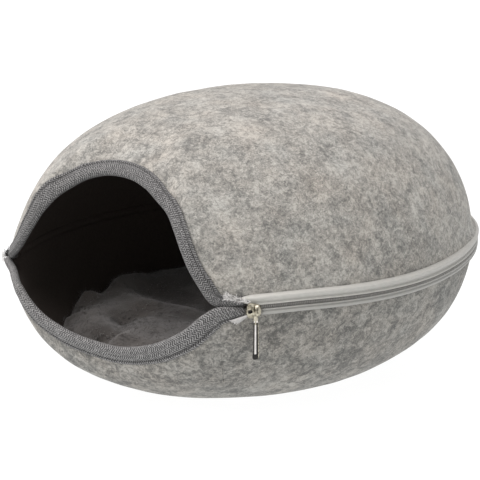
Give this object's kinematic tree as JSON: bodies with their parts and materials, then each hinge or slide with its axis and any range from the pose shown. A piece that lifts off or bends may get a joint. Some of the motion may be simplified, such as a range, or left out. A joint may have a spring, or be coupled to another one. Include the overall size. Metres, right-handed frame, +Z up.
{
  "type": "felt cat cave",
  "caption": "Oval zipped cave of moulded grey felt with a bound lens-shaped mouth at one end, a dark lining and a loose plush cushion inside.",
  "frame": {"origin": "on the floor under the middle of the cave's outline", "axes": "+Y along the cave from the mouth to the back, +Z up; the mouth faces -Y and the zip slider is on the +X side"},
  "size_m": [0.3598, 0.4314, 0.2401],
  "materials": {
    "felt": "mottled light grey pressed felt",
    "lining": "near-black lining",
    "binding_tape": "mid grey twill tape",
    "zip_tape": "silver-grey woven tape over piping",
    "zip_coil": "grey nylon coil",
    "zip_metal": "polished nickel",
    "plush": "short grey plush"
  },
  "bodies": {
    "root": {"felt_upper": "felt", "felt_lower": "felt", "lining_upper": "lining", "lining_lower": "lining", "binding_upper": "binding_tape", "binding_lower": "binding_tape", "zip_tape_upper": "zip_tape", "zip_tape_lower": "zip_tape", "zip_coil": "zip_coil", "zip_slider": "zip_metal", "zip_pull": "zip_metal", "cushion": "plush"}
  },
  "joints": []
}
